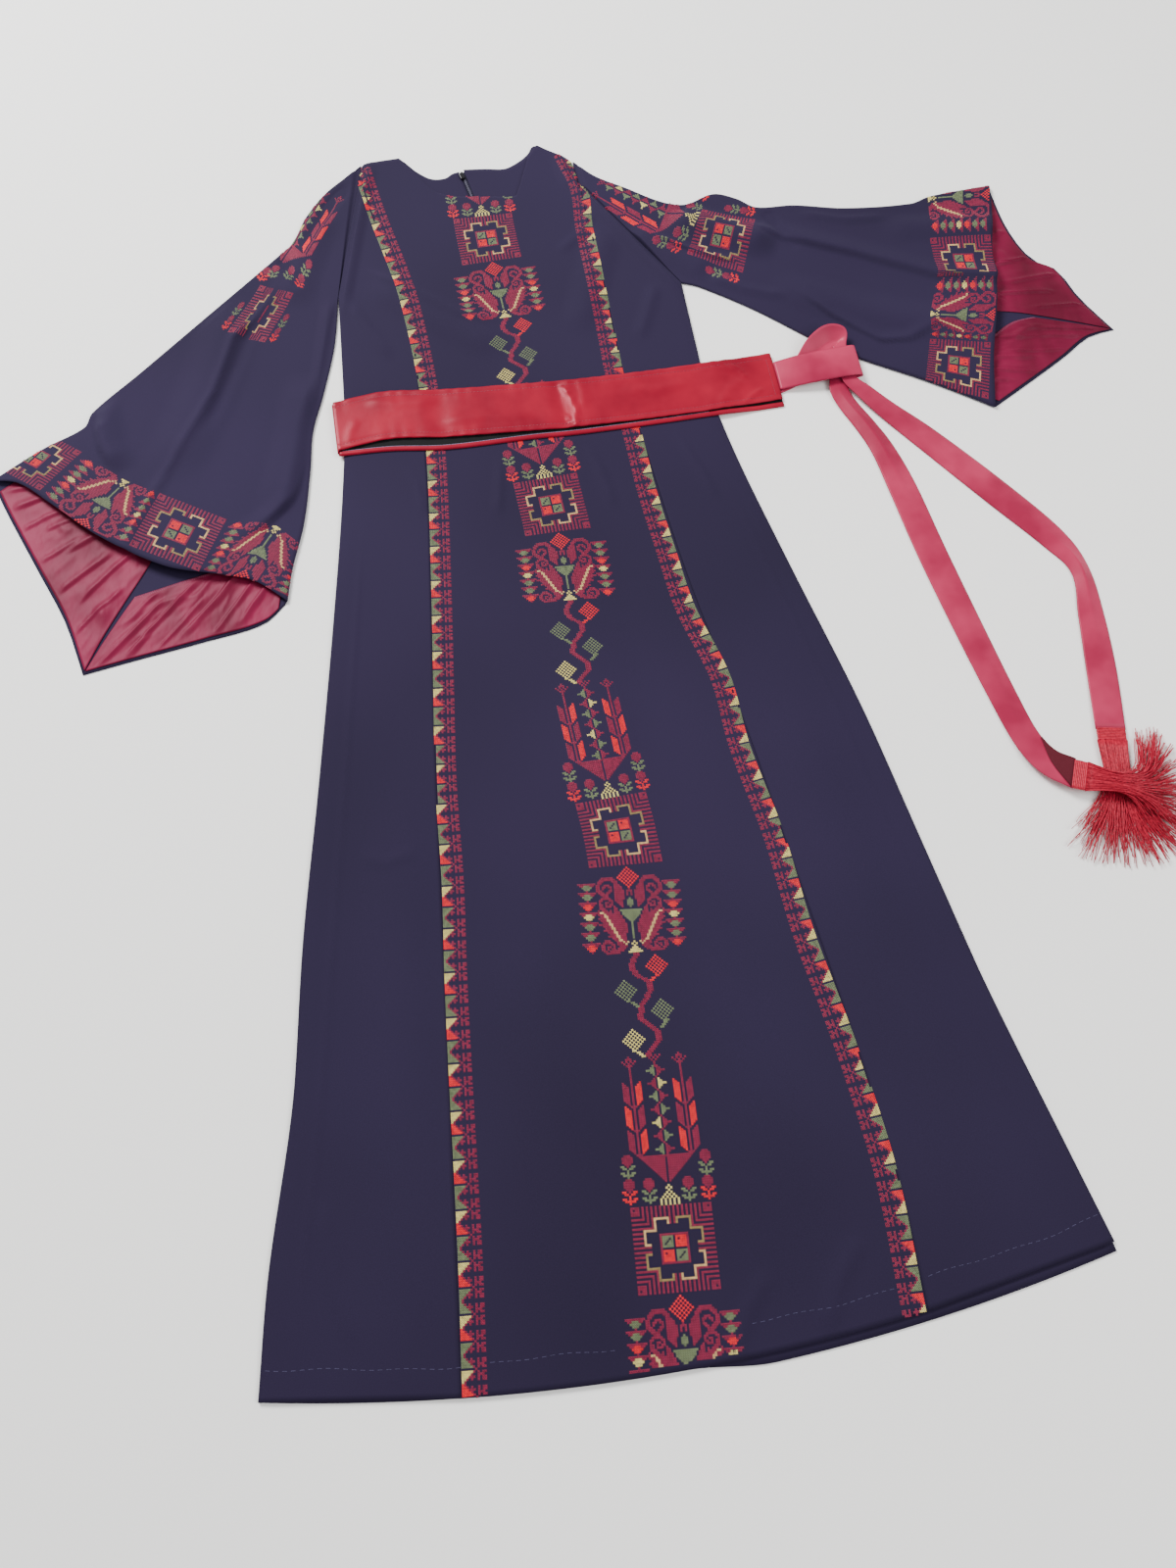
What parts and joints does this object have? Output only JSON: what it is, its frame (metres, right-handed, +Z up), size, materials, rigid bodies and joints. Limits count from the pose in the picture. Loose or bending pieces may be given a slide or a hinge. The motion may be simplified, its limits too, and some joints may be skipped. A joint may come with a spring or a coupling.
{
  "type": "embroidered long dress with sash belt, laid flat",
  "caption": "Long navy dress with wide bell sleeves, charted cross-stitch down the front and at the cuffs, with its satin sash and tassels, laid flat.",
  "frame": {"origin": "middle of the footprint of the dress and its sash on the surface it lies on, at the height of that surface", "axes": "+Y from the hem to the neck, +X to the right as seen from above, which is the wearer's left, +Z up out of the front"},
  "size_m": [1.3368, 1.4588, 0.0197],
  "materials": {
    "crepe": "matt navy polyester crepe with cross-stitch",
    "facing_satin": "burgundy satin, soft sheen",
    "belt_satin": "crimson duchess satin, soft sheen",
    "tassel_thread": "crimson rayon thread",
    "zip_coil": "navy nylon coil",
    "zip_slider": "dark enamelled zip slider"
  },
  "bodies": {
    "root": {"front_centre_panel": "crepe", "front_side_panel_left": "crepe", "front_side_panel_right": "crepe", "back_panel_left": "crepe", "back_panel_right": "crepe", "back_zip_chain": "zip_coil", "back_zip_slider": "zip_slider", "sleeve_left": "crepe", "sleeve_right": "crepe", "cuff_facing_left_outer": "facing_satin", "cuff_facing_left_inner": "facing_satin", "cuff_facing_right_outer": "facing_satin", "cuff_facing_right_inner": "facing_satin", "belt_band": "belt_satin", "belt_tie_upper": "belt_satin", "belt_tie_lower": "belt_satin", "tassel_upper": "tassel_thread", "tassel_lower": "tassel_thread"}
  },
  "joints": []
}
